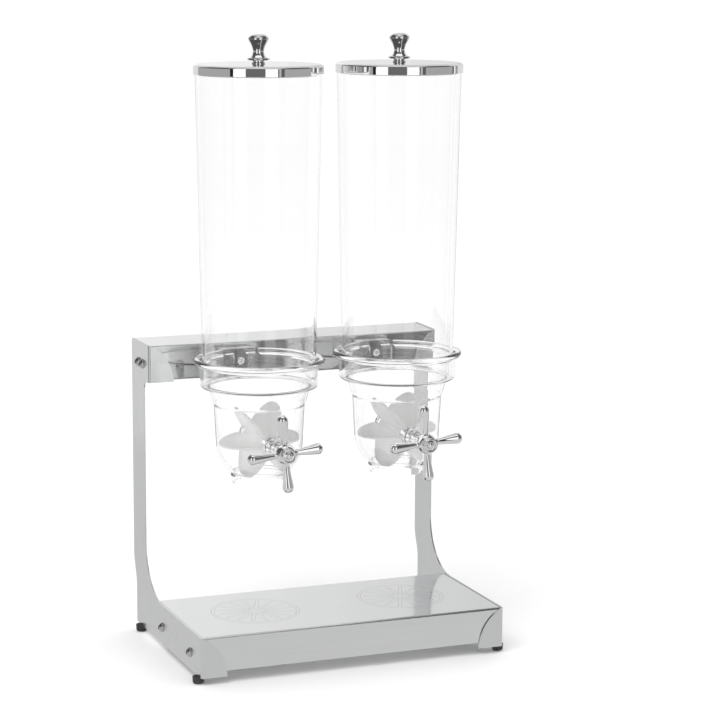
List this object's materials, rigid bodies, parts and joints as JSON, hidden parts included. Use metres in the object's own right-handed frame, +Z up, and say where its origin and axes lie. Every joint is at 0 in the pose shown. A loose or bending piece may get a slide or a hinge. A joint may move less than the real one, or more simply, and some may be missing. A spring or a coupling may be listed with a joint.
{
  "type": "cereal dispenser",
  "caption": "Counter-top dispenser with clear tapered tubes over clear bowls, soft portion wheels on cross-handle shafts, chrome lids and a folded steel stand.",
  "frame": {"origin": "on the counter under the middle of the stand", "axes": "+X to the right seen from the front, -Y to the front, +Z up"},
  "size_m": [0.361, 0.2633, 0.6796],
  "materials": {
    "brushed_sheet": "satin stainless sheet with a fine grain",
    "polished_sheet": "mirror-polished stainless sheet",
    "bright_screws": "bright plated button-head and socket-head screws",
    "plain_steel": "plain zinc-plated steel",
    "foot_rubber": "matte black rubber",
    "clear_bowl": "clear moulded plastic",
    "clear_tube": "clear moulded plastic",
    "milky_silicone": "milky translucent silicone",
    "seal_silicone": "soft translucent silicone",
    "chrome": "polished chrome plate"
  },
  "bodies": {
    "stand": {"base_platform": "brushed_sheet", "side_plate_left": "brushed_sheet", "side_plate_right": "brushed_sheet", "cross_beam": "polished_sheet", "side_screws": "bright_screws", "side_nuts": "plain_steel", "rubber_feet": "foot_rubber", "bowl_left": "clear_bowl", "bowl_right": "clear_bowl", "bowl_screws": "bright_screws", "beam_nuts": "plain_steel", "shaft_bush_left": "chrome", "shaft_bush_right": "chrome"},
    "wheel_left": {"portion_wheel_left": "milky_silicone", "wheel_pin_left": "plain_steel", "shaft_left": "plain_steel", "cross_handle_left": "chrome", "handle_screw_left": "plain_steel", "handle_cap_left": "chrome"},
    "tube_body_left": {"tube_left": "clear_tube"},
    "lid_body_left": {"lid_left": "chrome", "lid_seal_left": "seal_silicone", "lid_knob_left": "chrome", "knob_screw_left": "plain_steel"},
    "wheel_right": {"portion_wheel_right": "milky_silicone", "wheel_pin_right": "plain_steel", "shaft_right": "plain_steel", "cross_handle_right": "chrome", "handle_screw_right": "plain_steel", "handle_cap_right": "chrome"},
    "tube_body_right": {"tube_right": "clear_tube"},
    "lid_body_right": {"lid_right": "chrome", "lid_seal_right": "seal_silicone", "lid_knob_right": "chrome", "knob_screw_right": "plain_steel"}
  },
  "joints": [
    {"name": "wheel_left_spin", "type": "hinge", "parent": "stand", "child": "wheel_left", "pos_m": [-0.0805, -0.0353, 0.2435], "axis": [0, -1, 0], "continuous": true},
    {"name": "tube_left_lift", "type": "slide", "parent": "stand", "child": "tube_body_left", "axis": [0, 0, 1], "range_m": [0, 0.06]},
    {"name": "lid_left_lift", "type": "slide", "parent": "tube_body_left", "child": "lid_body_left", "axis": [0, 0, 1], "range_m": [0, 0.05]},
    {"name": "wheel_right_spin", "type": "hinge", "parent": "stand", "child": "wheel_right", "pos_m": [0.0805, -0.0353, 0.2435], "axis": [0, -1, 0], "continuous": true},
    {"name": "tube_right_lift", "type": "slide", "parent": "stand", "child": "tube_body_right", "axis": [0, 0, 1], "range_m": [0, 0.06]},
    {"name": "lid_right_lift", "type": "slide", "parent": "tube_body_right", "child": "lid_body_right", "axis": [0, 0, 1], "range_m": [0, 0.05]}
  ]
}
